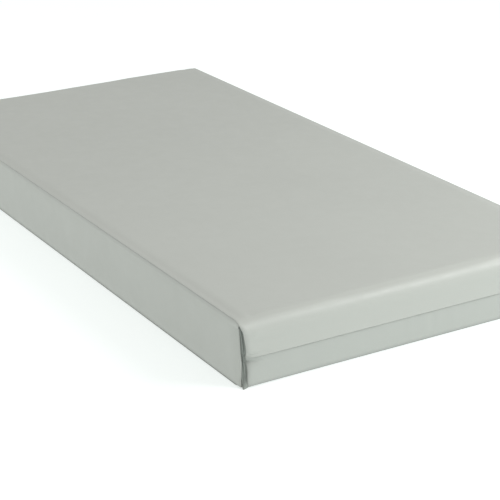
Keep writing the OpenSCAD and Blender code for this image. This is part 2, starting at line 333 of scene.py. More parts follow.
class Nodes:
    """A short way to write a node material."""

    def __init__(self, name):
        self.material = bpy.data.materials.new(name)
        self.material.use_nodes = True
        self.tree = self.material.node_tree
        self.shader = self.tree.nodes["Principled BSDF"]
        self.place = self.add("ShaderNodeTexCoord").outputs["Object"]

    def add(self, kind, **inputs):
        node = self.tree.nodes.new(kind)
        for key, value in inputs.items():
            self.put(node, key.replace("_", " "), value)
        return node

    def plug(self, socket, value):
        if isinstance(value, bpy.types.NodeSocket):
            self.tree.links.new(value, socket)
        else:
            socket.default_value = value

    def put(self, node, key, value):
        self.plug(node.inputs[key], value)

    def noise(self, scale, detail=3.0, rough=0.55, stretch=None):
        place = self.place
        if stretch:
            mapping = self.add("ShaderNodeMapping", Vector=place, Scale=stretch)
            place = mapping.outputs[0]
        node = self.add("ShaderNodeTexNoise", Vector=place, Scale=scale, Detail=detail, Roughness=rough)
        return node.outputs["Fac"]

    def wave(self, direction, **inputs):
        node = self.add("ShaderNodeTexWave", Vector=self.place, **inputs)
        node.bands_direction = direction
        return node.outputs["Fac"]

    def spread(self, value, low, high):
        node = self.add("ShaderNodeMapRange", Value=value)
        node.inputs["From Min"].default_value = 0.3
        node.inputs["From Max"].default_value = 0.7
        node.inputs["To Min"].default_value = low
        node.inputs["To Max"].default_value = high
        return node.outputs[0]

    def mix(self, amount, a, b):
        node = self.tree.nodes.new("ShaderNodeMix")
        node.data_type = "RGBA"
        for socket, value in zip((node.inputs[0], node.inputs[6], node.inputs[7]), (amount, a, b)):
            self.plug(socket, value)
        return node.outputs[2]

    def math(self, kind, a, b):
        node = self.tree.nodes.new("ShaderNodeMath")
        node.operation = kind
        for socket, value in zip(node.inputs, (a, b)):
            self.plug(socket, value)
        return node.outputs[0]

    def bump(self, height, distance, strength=1.0, onto=None):
        node = self.add("ShaderNodeBump", Height=height, Distance=distance, Strength=strength)
        if onto is not None:
            self.put(node, "Normal", onto)
        return node.outputs[0]

    def set(self, **values):
        for key, value in values.items():
            self.put(self.shader, key.replace("_", " "), value)


def rgb(colour, times=1.0):
    return (colour[0] * times, colour[1] * times, colour[2] * times, 1.0)


def coated_fabric(name, colour, grain=1.0, painted_crease_shade=0.48):
    """Smooth polyurethane-coated knit: a faint fine grain, slight unevenness of tone and a soft sheen. Narrow
    creases get painted shade: there the colour is darkened down to that share of it."""
    m = Nodes(name)
    tone = m.mix(m.spread(m.noise(3.0, 2.0), 0.0, 1.0), rgb(colour, 0.985), rgb(colour, 1.015))
    speck = m.mix(m.spread(m.noise(420.0, 2.0), 0.0, 0.35), tone, rgb(colour, 0.94))
    # Painted shade: ambient occlusion darkens the colour in narrow creases and seams, down to the given
    # share.
    crevice = m.add("ShaderNodeAmbientOcclusion", Distance=0.012)
    crevice.samples = 8
    surface_colour = m.mix(crevice.outputs["AO"], rgb(colour, painted_crease_shade), speck)
    knit_x = m.wave("X", Scale=300.0, Distortion=0.6, Detail=1.0)
    knit_y = m.wave("Y", Scale=260.0, Distortion=0.6, Detail=1.0)
    knit = m.math("MULTIPLY", knit_x, knit_y)
    soft = m.bump(m.noise(14.0, 2.0), 0.0006, 0.35)
    fine = m.bump(knit, 0.00008, 0.25 * grain, onto=soft)
    hair = m.bump(m.noise(900.0, 2.0), 0.00006, 0.3 * grain, onto=fine)
    m.set(Base_Color=surface_colour, Roughness=m.spread(m.noise(30.0, 3.0), 0.43, 0.53), Normal=hair,
          Specular_IOR_Level=0.5, Sheen_Weight=0.08, Sheen_Roughness=0.5)
    return m.material


def woven_tape(name, colour):
    """Tightly woven narrow tape."""
    m = Nodes(name)
    warp = m.wave("Z", Scale=420.0, Distortion=0.3)
    weft = m.wave("Y", Scale=420.0, Distortion=0.3)
    weave = m.math("MAXIMUM", warp, weft)
    tone = m.mix(weave, rgb(colour, 0.72), rgb(colour, 1.1))
    surface_colour = m.mix(m.spread(m.noise(60.0), 0.0, 0.4), tone, rgb(colour, 1.3))
    m.set(Base_Color=surface_colour, Roughness=m.spread(m.noise(200.0), 0.72, 0.88), Normal=m.bump(weave, 0.0002, 0.7),
          Sheen_Weight=0.2)
    return m.material


def moulded(name, colour):
    """Smooth polyester monofilament."""
    m = Nodes(name)
    tone = m.mix(m.spread(m.noise(150.0), 0.0, 1.0), rgb(colour, 0.9), rgb(colour, 1.12))
    m.set(Base_Color=tone, Roughness=m.spread(m.noise(300.0), 0.36, 0.50),
          Normal=m.bump(m.noise(1200.0), 0.00004, 0.3))
    return m.material


def plated_metal(name, colour):
    """Satin nickel plate with fine scratches and slightly brighter, smoother spots rubbed by wear."""
    m = Nodes(name)
    scratches = m.noise(900.0, 4.0, 0.6, stretch=(1.0, 0.08, 1.0))
    tone = m.mix(m.spread(m.noise(180.0), 0.0, 1.0), rgb(colour, 0.82), rgb(colour, 1.08))
    m.set(Base_Color=tone, Roughness=m.spread(scratches, 0.22, 0.42), Normal=m.bump(scratches, 0.00002, 0.4),
          Metallic=1.0)
    return m.material


def open_cell_foam(name, colour):
    """Cut polyurethane foam with open pores."""
    m = Nodes(name)
    cells = m.add("ShaderNodeTexVoronoi", Vector=m.place, Scale=520.0)
    pores = m.spread(cells.outputs["Distance"], 0.0, 1.0)
    tone = m.mix(pores, rgb(colour, 0.72), rgb(colour, 1.05))
    yellowed = rgb((colour[0], colour[1] * 0.97, colour[2] * 0.88))
    aged = m.mix(m.spread(m.noise(6.0), 0.0, 0.25), tone, yellowed)
    m.set(Base_Color=aged, Roughness=m.spread(m.noise(90.0), 0.86, 0.97), Normal=m.bump(pores, 0.0006, 0.8))
    return m.material


def knitted_sock(name, colour):
    """Loose knitted fire barrier."""
    m = Nodes(name)
    rib = m.wave("Y", Scale=160.0, Distortion=1.5, Detail=2.0)
    loops = m.math("MULTIPLY", rib, m.noise(500.0))
    tone = m.mix(loops, rgb(colour, 0.78), rgb(colour, 1.05))
    m.set(Base_Color=tone, Roughness=m.spread(m.noise(120.0), 0.85, 0.95), Normal=m.bump(loops, 0.0005, 0.7),
          Sheen_Weight=0.25)
    return m.material


def thread(name, colour):
    """Twisted polyester sewing thread."""
    m = Nodes(name)
    ply = m.noise(700.0, 2.0, stretch=(1.0, 0.4, 1.0))
    tone = m.mix(m.spread(ply, 0.0, 1.0), rgb(colour, 0.75), rgb(colour, 1.1))
    m.set(Base_Color=tone, Roughness=m.spread(m.noise(400.0), 0.5, 0.7), Normal=m.bump(ply, 0.0001, 0.6))
    return m.material


TOP_GREY = (0.452, 0.468, 0.436)
BASE_GREY = (0.421, 0.441, 0.412)
# SEAM_GREY is darker than the cover greys to paint the shade of the corner grooves onto the folded strips in
# them: painted shade.
SEAM_GREY = (0.27, 0.295, 0.27)

top_fabric = coated_fabric("top_fabric", TOP_GREY)
base_fabric = coated_fabric("base_fabric", BASE_GREY, grain=1.2)
seam_fabric = coated_fabric("seam_fabric", SEAM_GREY, painted_crease_shade=0.68)
zip_tape = woven_tape("zip_tape", (0.20, 0.27, 0.25))
zip_coil = moulded("zip_coil", (0.16, 0.23, 0.215))
zip_metal = plated_metal("zip_metal", (0.62, 0.62, 0.61))
sock_fabric = knitted_sock("sock_fabric", (0.80, 0.80, 0.75))
firm_foam = open_cell_foam("firm_foam", (0.34, 0.45, 0.58))
soft_foam = open_cell_foam("soft_foam", (0.82, 0.76, 0.60))
heel_foam = open_cell_foam("heel_foam", (0.76, 0.53, 0.60))
sewing_thread = thread("sewing_thread", (0.42, 0.45, 0.41))


# ---------------------------------------------------------------------------
# The corner groove: where the end sheets and the side panels stop
# ---------------------------------------------------------------------------

def groove_on_end(z):
    """Distance of an end sheet's edge from the side plane, by height."""
    closes_from = 0.080
    wide = 0.0112 + 0.0043 * bump(z, 0.050, 0.032)
    closing = np.clip((z - closes_from) / (GROOVE_TOP_Z - closes_from), 0, 1)
    return wide * (1 - closing ** 2.2)


def groove_on_side(z):
    """Distance of a side panel's edge from the end plane, by height on the unrolled panel. The panel reaches
    forward again above the groove."""
    low = 0.0060 + 0.0040 * smooth(z / 0.02)
    return low + 0.0078 * np.clip(z / 0.13, 0, 1) - 0.0040 * smooth((z - 0.134) / 0.009)


def roll_setback(z):
    """How far the end roll stands back from the end plane, by height."""
    return quarter_drop(END_ROLL, z - ROLL_Z)


def crease(gap, z, height, slope, width, length):
    """A small sharp fold of depth 1 that starts at the groove at that height and fades out."""
    return np.exp(-gap / length) * np.exp(-np.abs(z - height - slope * gap) / width)


def corner_pull(gap, foot, z):
    """How far the end sheets are drawn in beside the corner grooves, at that gap from their edge: a little
    everywhere, and more where the bulk of the zip, or of the head seam, is sewn into the corner. Under the
    flap the base is drawn in deeper than the flap is."""
    seam_z = np.where(foot, FLAP_LOW.z, HEAD_SEAM_Z)
    above = smooth((z - seam_z + 0.003) / 0.004)
    flap = 0.0038 * np.exp(-gap / 0.020) * bump(z, seam_z, 0.012)
    flap = flap + 0.0035 * np.exp(-gap / 0.008) * bump(z, seam_z, 0.009)
    base = 0.0095 * np.exp(-gap / 0.017) * bump(z, seam_z - 0.009, 0.013)
    bulk = np.where(foot, flap * above + base * (1 - above), 0.7 * flap)
    return 0.0006 * np.exp(-gap / 0.006) + bulk


def hidden_pull(y, foot, z):
    """How far fabric behind the end sheets is drawn in together with them."""
    return corner_pull(np.maximum(HALF_W - groove_on_end(z) - np.abs(y), 0), foot, z)


def pull_behind_base(y, z):
    """How far what lies behind the base cover at the foot end is drawn in with it."""
    return hidden_pull(y, True, z) * smooth((RISE_TOP_Z - z) / 0.004)


def foot_spread(y, z):
    """How far the lower corners stand out past the ends."""
    return 0.0035 * np.exp(-(HALF_W - np.minimum(np.abs(y), HALF_W)) / 0.09) * (1 - smooth(z / 0.06))


def side_spread(x, z):
    """How far the sides spread towards the surface that the mattress lies on."""
    return 0.0028 * (1 - z / TOP_Z) * (1 - smooth((np.abs(x) - FOOT_X + 0.012) / 0.02))


# ---------------------------------------------------------------------------
# Top cover: top, both end falls and the zip flap, all one sheet
# ---------------------------------------------------------------------------

LIP = edge_profile(0.006, LONG_SEAM / 2, 0.0010, math.radians(80), 0.005)
END_EDGE = edge_profile(0.010, 0.0035, 0.002, math.radians(35), 0.004)


def top_path(spacing, steps):
    turned_in = 0.007
    return filleted_path(
        [(HEAD_X + turned_in, HEAD_SEAM_Z + SEAM_GAP), (HEAD_X, HEAD_SEAM_Z + SEAM_GAP), (HEAD_X, TOP_Z),
         (FOOT_X, TOP_Z), (FOOT_X, FALL_Z), (FOOT_X, FLAP_LOW.z)],
        [0.0025, END_ROLL, END_ROLL, 0.0], [5, steps, steps, 0], spacing)


def top_swell(s, y):
    """How far the top cover swells over the foam, from a cloth simulation of its wide part."""
    points, _ = top_path([0.01, 0.018, 0.018, 0.018, 0.018], 4)
    wide = (points[:, 0] > HEAD_X + 0.01) | (points[:, 1] > HEAD_SEAM_Z + 0.003)
    wide &= points[:, 1] > np.where(points[:, 0] > 0, FALL_Z - 0.001, 0)
    along = path_length(points)[wide]
    coarse_y = np.linspace(-HALF_W + 0.002, HALF_W - 0.002, 50)
    x, y_grid = np.meshgrid(points[wide, 0], coarse_y, indexing="ij")
    z = np.broadcast_to(points[wide, 1][:, None], x.shape)
    field = relax(np.stack([x, y_grid, z], axis=2), pressure=1.2, slack=0.004, most=0.0020)
    u = np.interp(s, along, np.arange(len(along)))
    v = (y - coarse_y[0]) / (coarse_y[1] - coarse_y[0])
    return sample(field, np.broadcast_to(u[:, None], y.shape), v)


def build_top_cover():
    points, normals = top_path([0.003, 0.003, 0.016, 0.002, 0.0015], 18)
    x, z = points[:, 0], points[:, 1]
    s = path_length(points)
    on_end = np.abs(x) > FOOT_X - END_ROLL
    inside = smooth((x - HEAD_X - 0.0005) / 0.002) * (x < 0) * (z < HEAD_SEAM_Z + 0.002)
    edge = HALF_W - SEAM_GAP - groove_on_end(z) * on_end - RETURN_CUT * inside
    inset, below = blended(LIP, END_EDGE, smooth((GROOVE_TOP_Z + 0.002 - z) / 0.010) * on_end)
    y = columns(edge, inset, COLUMN)
    garage = int(np.argmin(np.abs(y[-1] - FLAP_HIGH.y)))
    pinned = (x > 0) * smooth((ROLL_Z - z) / (ROLL_Z - FALL_Z))
    y[:, garage] += (FLAP_HIGH.y - y[:, garage]) * pinned

    gap = np.maximum(edge[:, None] - np.abs(y), 0)
    xx, zz = np.broadcast_to(x[:, None], y.shape), np.broadcast_to(z[:, None], y.shape)
    foot = xx > 0
    calm = smooth(gap / 0.03) * smooth(np.where(foot, zz - FALL_Z, zz - HEAD_SEAM_Z - 0.002) / 0.02)
    lift = (top_swell(s, y) + 0.0010 + 0.0005 * waves(xx, y, 0.42, 3) + 0.0002 * waves(xx, y, 0.12, 4)) * calm
    at_end = smooth((GROOVE_TOP_Z + 0.004 - zz) / 0.012) * on_end[:, None]
    drawn = corner_pull(gap, foot, zz) * at_end * np.sign(xx)
    lift = lift - 0.0022 * crease(gap, zz, FLAP_LOW.z + 0.005, 0.12, 0.0022, 0.022) * foot * on_end[:, None]
    lift = lift + 0.0028 * np.exp(-gap / 0.013) * bump(zz, GROOVE_TOP_Z - 0.012, 0.011) * on_end[:, None]
    lift = lift + 0.0003 * bump(zz, FLAP_LOW.z, 0.004) * foot * on_end[:, None]
    sunk = both_edges(below, y.shape[1])
    way = edge_ways(x, normals, z < ROLL_Z)
    grid = np.stack([xx + lift * normals[:, :1] - sunk * way[:, :1] - drawn, y,
                     zz + lift * normals[:, 1:] - sunk * way[:, 1:]], axis=2)

    flap_rows = (z[1:] < FALL_Z - 1e-6) & (x[1:] > 0)
    past_flap = np.arange(y.shape[1] - 1) >= garage
    keep = ~(flap_rows[:, None] & past_flap[None, :])
    cover = sheet_object("top_cover_and_flap", grid, FABRIC_T, top_fabric, keep)
    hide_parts("top_cover", "zip_flap")
    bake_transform(cover)


# ---------------------------------------------------------------------------
# Base cover: underside and both end rises, one sheet
# ---------------------------------------------------------------------------

def build_base_cover():
    turned_in = 0.0065
    points, normals = filleted_path(
        [(RISE_X - turned_in, RISE_TOP_Z), (RISE_X, RISE_TOP_Z), (RISE_X, BASE_Z), (HEAD_X, BASE_Z),
         (HEAD_X, HEAD_SEAM_Z - SEAM_GAP), (HEAD_X + turned_in, HEAD_SEAM_Z - SEAM_GAP)],
        [0.0015, BASE_ROLL, BASE_ROLL, 0.0025], [5, 8, 8, 5], [0.002, 0.002, 0.02, 0.003, 0.002])
    x, z = points[:, 0], points[:, 1]
    on_end = smooth((np.abs(x) - (FOOT_X - 0.012)) / 0.008)
    inside = smooth((x - HEAD_X - 0.0005) / 0.002) * (x < 0) + smooth((RISE_X - 0.0005 - x) / 0.002) * (x > 0)
    edge = HALF_W - SEAM_GAP - groove_on_end(z) * on_end - RETURN_CUT * inside * (z > HEAD_SEAM_Z - 0.003)
    inset, below = blended(LIP, END_EDGE, on_end * smooth(z / 0.004))
    y = columns(edge, inset, COLUMN)
    gap = np.maximum(edge[:, None] - np.abs(y), 0)
    xx, zz = np.broadcast_to(x[:, None], y.shape), np.broadcast_to(z[:, None], y.shape)
    foot = xx > 0

    upright = smooth((zz - 0.006) / 0.02)
    free = upright * smooth((RISE_TOP_Z + 0.004 - zz) / 0.02) * smooth((gap - 0.002) / 0.03)
    ripple = 0.0014 * bump(y, 0.03, 0.06) * np.sin(math.tau * (y - 0.01) / 0.036) * foot
    ripple = ripple + 0.0003 * waves(y, zz * 0.5, 0.09, 8) + 0.0004 * waves(y, zz, 0.3, 9)
    below_flap = FLAP_LOW.z - 0.010
    drawn = (corner_pull(gap, foot, zz) * upright - foot_spread(y, zz) * smooth(zz / 0.004)) * np.sign(xx)
    lift = ripple * free
    lift = lift - 0.0046 * crease(gap, zz, below_flap, -0.04, 0.0030, 0.021) * foot * upright
    lift = lift + 0.0008 * np.exp(-gap / 0.012) * bump(zz, below_flap + 0.005, 0.003) * foot
    drawn = drawn * smooth((np.abs(xx) - FOOT_X + 0.05) / 0.03)
    out = side_spread(xx, zz) * np.abs(y) / HALF_W * np.sign(y) * smooth((0.004 - zz) / 0.003)
    sunk = both_edges(below, y.shape[1])
    way = edge_ways(x, normals, z > BASE_ROLL)
    grid = np.stack([xx + lift * normals[:, :1] - sunk * way[:, :1] - drawn, y + out,
                     zz + lift * normals[:, 1:] - sunk * way[:, 1:]], axis=2)
    base = sheet_object("base_cover_fabric", grid, BASE_T, base_fabric)
    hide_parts("base_cover")
    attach(base, ROOT)


# ---------------------------------------------------------------------------
# Side panels
# ---------------------------------------------------------------------------

def side_swell(side, x, z):
    """How far a side panel swells over the foam, from a cloth simulation."""
    coarse_x = np.linspace(HEAD_X + 0.014, FOOT_X - 0.014, 125)
    coarse_z = np.linspace(BASE_Z + 0.001, TOP_Z - 0.002, 11)
    z_grid, x_grid = np.meshgrid(coarse_z, coarse_x, indexing="ij")
    p = np.stack([x_grid, np.full(x_grid.shape, side * HALF_W), z_grid], axis=2)
    field = relax(p, pressure=1.5, slack=0.004, most=0.0016)
    return sample(field, (z - coarse_z[0]) / (coarse_z[1] - coarse_z[0]),
                  (x - coarse_x[0]) / (coarse_x[1] - coarse_x[0]))


def build_side_panel(name, node, side):
    """side is -1 for the right panel and 1 for the left."""
    low_inset, low_below = edge_profile(0.004, 0.0022, 0.0015, math.radians(75), 0.005)
    top_inset, top_below = edge_profile(0.008, 0.0024, 0.0015, math.radians(80), 0.005)
    end_inset, end_below = edge_profile(0.005, 0.0020, 0.0015, math.radians(35), 0.004)
    z_low, z_top = BASE_Z + LONG_SEAM, TOP_Z - LONG_SEAM
    middle = between(z_low + REACH, z_top - REACH, 0.006)
    z = np.concatenate([z_low + low_inset, middle, z_top - top_inset[::-1]])
    depth = np.concatenate([low_below, np.zeros(len(middle)), top_below[::-1]])[:, None]

    edge = FOOT_X - groove_on_side(z)
    x = columns(edge, np.tile(end_inset, (len(z), 1)), COLUMN)
    gap = np.maximum(edge[:, None] - np.abs(x), 0)
    level = z[:, None]
    zz = level - quarter_drop(END_ROLL, np.abs(x) - (FOOT_X - END_ROLL)) * smooth((level - 0.095) / 0.05)

    calm = smooth(gap / 0.03) * smooth((level - z_low) / 0.02) * smooth((z_top - level) / 0.02)
    lift = (side_swell(side, x, zz) + 0.0008 + 0.0004 * waves(x, zz, 0.35, 11 + side)
            + 0.0002 * waves(x, zz, 0.11, 15 + side)) * calm
    lift = lift + 0.0007 * bump(z_top - level, 0.0085, 0.004)
    groove_side = 1 - smooth((level - 0.131) / 0.008)
    lift = lift - 0.0038 * np.exp(-gap / 0.008) * groove_side * smooth(level / 0.03)
    gathered = smooth((level - 0.085) / 0.03) * smooth((0.142 - level) / 0.006)
    for where, strength in ((0.0065, 0.0009), (0.0115, 0.0007)):
        lift = lift - strength * np.exp(-np.abs(gap - where) / 0.0012) * gathered
    lift = lift + side_spread(x, zz) - depth - both_edges(end_below[None, :], x.shape[1])
    panel = sheet_object(name, np.stack([x, side * (HALF_W + lift), zz], axis=2), FABRIC_T, top_fabric)
    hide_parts(node)
    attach(panel, ROOT)


# ---------------------------------------------------------------------------
# Corner seams: the folded strip at the bottom of each groove, with its rib
# ---------------------------------------------------------------------------

def build_corner_seam(end, side, name, node):
    """end is 1 at the foot and -1 at the head, side is 1 left and -1 right. The strip's section goes from
    behind the side panel's edge to behind the end sheet's edge; a and b are the distances from the end plane
    and from the side plane."""
    z = np.concatenate([np.linspace(0.0007, 0.012, 12), between(0.012, 0.11, 0.003),
                        np.linspace(0.11, GROOVE_TOP_Z + 0.002, 14)])[:, None]
    rib_from, rib_to = 0.36, 0.60
    t = np.concatenate([np.linspace(0, rib_from, 8), between(rib_from, rib_to, 0.018),
                        np.linspace(rib_to, 1, 8)])[None, :]
    drawn = corner_pull(np.zeros(z.shape), np.full(z.shape, end > 0), z)
    setback = roll_setback(z)
    a_edge = groove_on_side(np.minimum(z, 0.125))
    b_edge = groove_on_end(z)
    a0, b0 = a_edge + 0.003, 0.0036
    a1, b1 = 0.0048 + drawn + setback, b_edge + 0.003
    turned_out = np.clip((0.026 - z) / 0.026, 0, 1) ** 2
    a_turn = ((a0 + a1) / 2 + 0.0015) * (1 - turned_out) - 0.0045 * turned_out
    b_turn = ((b0 + b1) / 2 + 0.0030) * (1 - turned_out) - 0.0060 * turned_out
    a = a0 * (1 - t) ** 2 + 2 * a_turn * t * (1 - t) + a1 * t ** 2
    b = b0 * (1 - t) ** 2 + 2 * b_turn * t * (1 - t) + b1 * t ** 2
    shut = smooth((z - 0.118) / (GROOVE_TOP_Z - 0.116))
    height = 0.0036 * (1 - 0.6 * shut) * (1 - 0.8 * turned_out)
    rib = height * np.exp(-(((t - 0.47) / 0.065) ** 4))
    rib = rib + 0.0002 * waves(z, z * 0, 0.05, 20 + end + 2 * side) * np.sin(math.pi * t)
    out = np.array([b_edge + 0.003, a_edge])
    out = out / np.linalg.norm(out, axis=0)
    plane_x = FOOT_X + foot_spread(np.full(z.shape, HALF_W), z)
    plane_y = HALF_W + 0.001 * turned_out
    grid = np.stack([end * (plane_x - a + rib * out[0]), side * (plane_y - b + rib * out[1]),
                     np.broadcast_to(z, a.shape)], axis=2)
    seam = sheet_object(name, grid, FABRIC_T, seam_fabric)
    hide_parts(node)
    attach(seam, ROOT)


# ---------------------------------------------------------------------------
# Zip: facing, tapes, coils and stitching
# ---------------------------------------------------------------------------

def cross_strip(name, path_xz, y0, y1, thickness, material):
    """A long narrow sheet across the foot end, from its section and its two ends. What lies behind the base
    cover is drawn in with it."""
    path = np.array(path_xz)
    y, z = np.meshgrid(np.linspace(y0, y1, round((y1 - y0) / 0.008)), path[:, 1])
    grid = np.stack([path[:, :1] - pull_behind_base(y, z), y, z], axis=2)
    return sheet_object(name, grid, thickness, material)


def tube(path, radius, sides, seen_from):
    """Points of a round tube along a path whose side direction never runs along seen_from."""
    tangent = np.gradient(path, axis=0)
    tangent = tangent / np.linalg.norm(tangent, axis=1, keepdims=True)
    across = np.cross(tangent, seen_from)
    across = across / np.linalg.norm(across, axis=1, keepdims=True)
    other = np.cross(tangent, across)
    ring = math.tau * np.arange(sides) / sides
    return path[:, None] + radius * (np.cos(ring)[None, :, None] * across[:, None]
                                     + np.sin(ring)[None, :, None] * other[:, None])


def tube_faces(rings, sides, first=0):
    """Faces of a tube, with both its ends closed."""
    faces = [[first + i * sides + j, first + i * sides + (j + 1) % sides,
              first + (i + 1) * sides + (j + 1) % sides, first + (i + 1) * sides + j]
             for i in range(rings - 1) for j in range(sides)]
    faces.append([first + j for j in reversed(range(sides))])
    faces.append([first + (rings - 1) * sides + j for j in range(sides)])
    return faces


def zip_coil_turns(name, node, y0, y1, towards):
    """One side of the zip's coil: a flat helix of monofilament, with its heads towards the other side."""
    pitch, wire, per_turn, sides = 0.0019, 0.00042, 8, 6
    low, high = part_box(node)
    k = np.arange(int((y1 - y0) / pitch) * per_turn + 1)
    angle = math.tau * k / per_turn
    x_half = (high.x - low.x) / 2 - wire
    z_half = (high.z - low.z) / 2 - wire * 0.6
    head = 0.00055 * np.clip(np.cos(angle), 0, 1)
    path = np.stack([(low.x + high.x) / 2 + x_half * np.sin(angle), y0 + pitch * k / per_turn,
                     (low.z + high.z) / 2 + towards * (z_half * np.cos(angle) + head)], axis=1)
    grid = tube(path, wire, sides, [0.0, 1.0, 0.0])
    piece = new_object(name, grid.reshape(-1, 3), tube_faces(len(path), sides), zip_coil)
    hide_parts(node)
    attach(piece, ROOT)


def stitch_row(name, x, z, y0, y1):
    """A row of short thread stitches that lie on a face towards the foot end."""
    pitch, length, thick, rings, sides = 0.0032, 0.0020, 0.00022, 5, 6
    verts, faces = [], []
    along = np.linspace(-1, 1, rings)
    for middle in np.arange(y0, y1, pitch):
        path = np.stack([x - 0.00025 * along ** 2, middle + along * length / 2, np.full(rings, z)], axis=1)
        radius = thick * (1 - 0.6 * np.abs(along))[:, None, None]
        faces += tube_faces(rings, sides, len(verts))
        verts += list((path[:, None] + (tube(path, 1.0, sides, [0.0, 0.0, 1.0]) - path[:, None]) * radius)
                      .reshape(-1, 3))
    row = new_object(name, verts, faces, sewing_thread)
    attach(row, ROOT)


def softened_copy(name, node, material, edge):
    """The CAD node's own shape as a new piece, with its sharp edges rounded over."""
    source = bpy.data.objects[node]
    mesh = source.data.copy()
    mesh.transform(source.matrix_world)
    mesh.materials.clear()
    mesh.materials.append(material)
    obj = bpy.data.objects.new(name, mesh)
    bpy.context.scene.collection.objects.link(obj)
    weld = obj.modifiers.new("Weld", "WELD")
    weld.merge_threshold = 1e-5
    flat = obj.modifiers.new("Flat", "DECIMATE")
    flat.decimate_type = "DISSOLVE"
    flat.angle_limit = math.radians(1)
    soft = obj.modifiers.new("Soft edges", "BEVEL")
    soft.width = edge
    soft.segments = 2
    soft.limit_method = "ANGLE"
    soft.angle_limit = math.radians(30)
    done = bpy.data.meshes.new_from_object(obj.evaluated_get(bpy.context.evaluated_depsgraph_get()))
    obj.modifiers.clear()
    obj.data = done
    return obj


def build_stops():
    """The metal stops crimped on both ends of the coils."""
    stops = softened_copy("zip_stops_crimped", "zip_stops", zip_metal, 0.00025)
    stops.data.set_sharp_from_angle(angle=math.radians(35))
    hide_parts("zip_stops")
    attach(stops, ROOT)


def build_zip_end(name, side, back):
    """The fabric patch behind one end of the zip, which bends in with the covers towards the corner."""
    y, z = np.meshgrid(np.linspace(UPPER_TAPE_HIGH.y - 0.022, UPPER_TAPE_HIGH.y + 0.005, 14),
                       np.linspace(LOWER_TAPE_LOW.z - TAPE_MARGIN, UPPER_TAPE_HIGH.z + TAPE_MARGIN, 10),
                       indexing="ij")
    bent = 0.0035 * smooth((y - UPPER_TAPE_HIGH.y + 0.001) / 0.006)
    bent = bent + pull_behind_base(y, z)
    patch = sheet_object(name, np.stack([back - bent, side * y, z], axis=2), LINING_T, seam_fabric)
    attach(patch, ROOT)


def build_zip():
    y0, y1 = UPPER_TAPE_LOW.y, UPPER_TAPE_HIGH.y
    tape_t = (UPPER_TAPE_HIGH.x - UPPER_TAPE_LOW.x) * 0.75
    skin = (UPPER_TAPE_LOW.x + UPPER_TAPE_HIGH.x + tape_t) / 2

    facing_path = [(FOOT_X - 0.0012, FALL_Z + 0.0030), (FOOT_X - 0.0014, FALL_Z + 0.0012),
                   (FOOT_X - 0.0022, FALL_Z + 0.0004), (FOOT_X - 0.0035, FALL_Z + 0.0002),
                   (skin + 0.0008, FALL_Z), (skin + 0.0003, FALL_Z - 0.0008),
                   (skin + 0.0002, FALL_Z - 0.0030)]
    facing = cross_strip("zip_facing", facing_path, y0, y1, LINING_T, top_fabric)
    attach(facing, ROOT)

    for side, side_name in ((1, "left"), (-1, "right")):
        build_zip_end(f"zip_end_patch_{side_name}", side, SLIDER_LOW.x - 0.0003)

    under_coil = 0.0006
    for node, hidden_z, mesh_z in (
            ("zip_tape_upper", UPPER_TAPE_HIGH.z + TAPE_MARGIN, UPPER_TAPE_LOW.z - under_coil),
            ("zip_tape_lower", LOWER_TAPE_LOW.z - TAPE_MARGIN, LOWER_TAPE_HIGH.z + under_coil)):
        heights = np.linspace(hidden_z, mesh_z, 6)
        tape = cross_strip(node + "_weave", [(skin, h) for h in heights], y0, y1, tape_t, zip_tape)
        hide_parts(node)
        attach(tape, ROOT)

    coil_margin, stitch_margin = 0.0005, 0.002
    for node, towards in (("zip_coil_upper", -1), ("zip_coil_lower", 1)):
        zip_coil_turns(node + "_turns", node, y0 + coil_margin, y1 - coil_margin, towards)
    for name, x, z in (("stitching_upper", skin + 0.0003, FALL_Z - 0.0018),
                       ("stitching_lower", skin + 0.0002, RISE_TOP_Z + 0.0022)):
        stitch_row(name, x, z, y0 + stitch_margin, y1 - stitch_margin)


def build_head_seam():
    """The joining tape behind the seam at the head end."""
    low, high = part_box("head_seam")
    end_y = HALF_W - groove_on_end(HEAD_SEAM_Z) - 0.003
    z, y = np.meshgrid(np.linspace(high.z, low.z, 7), np.linspace(-end_y, end_y, 120), indexing="ij")
    drawn = hidden_pull(y, False, z)
    grid = np.stack([low.x + drawn + 0.0003 * waves(y, z, 0.08, 31), y, z], axis=2)
    tape = sheet_object("head_seam_tape", grid, LINING_T, seam_fabric)
    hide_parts("head_seam")
    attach(tape, ROOT)


# ---------------------------------------------------------------------------
# Inside: the sock and the foam
# ---------------------------------------------------------------------------

def build_sock():
    low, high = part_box("fire_barrier_sock")
    corners = [(0, low.z), (low.y, low.z), (low.y, high.z), (high.y, high.z), (high.y, low.z), (0, low.z)]
    loop, _ = filleted_path(corners, [0.006] * 4, [5] * 4, [0.03] * 5)
    loop = loop[:-1]
    x = np.linspace(low.x, high.x, 64)
    grid = np.stack([np.tile(x, (len(loop), 1)), np.tile(loop[:, :1], (1, len(x))),
                     np.tile(loop[:, 1:], (1, len(x)))], axis=2)
    sock = sheet_object("fire_barrier_sleeve", grid, 0.0008, sock_fabric, closed=True)
    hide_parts("fire_barrier_sock")
    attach(sock, ROOT)


def finish_foam(obj, node):
    obj.data.set_sharp_from_angle(angle=math.radians(35))
    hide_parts(node)
    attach(obj, ROOT)


def rounded_outline(x0, x1, y0, y1, corner_r, steps=8):
    """A rectangle with rounded corners; corner_r gives the radius of the corner at x, y."""
    turns = np.linspace(0, math.pi / 2, steps)
    ring = []
    for k, (x, y) in enumerate(((x1, y1), (x0, y1), (x0, y0), (x1, y0))):
        r = corner_r(x, y)
        centre = (x - math.copysign(r, x - (x0 + x1) / 2), y - math.copysign(r, y - (y0 + y1) / 2))
        for turn in turns + k * math.pi / 2:
            ring.append((centre[0] + r * math.cos(turn), centre[1] + r * math.sin(turn)))
    return ring


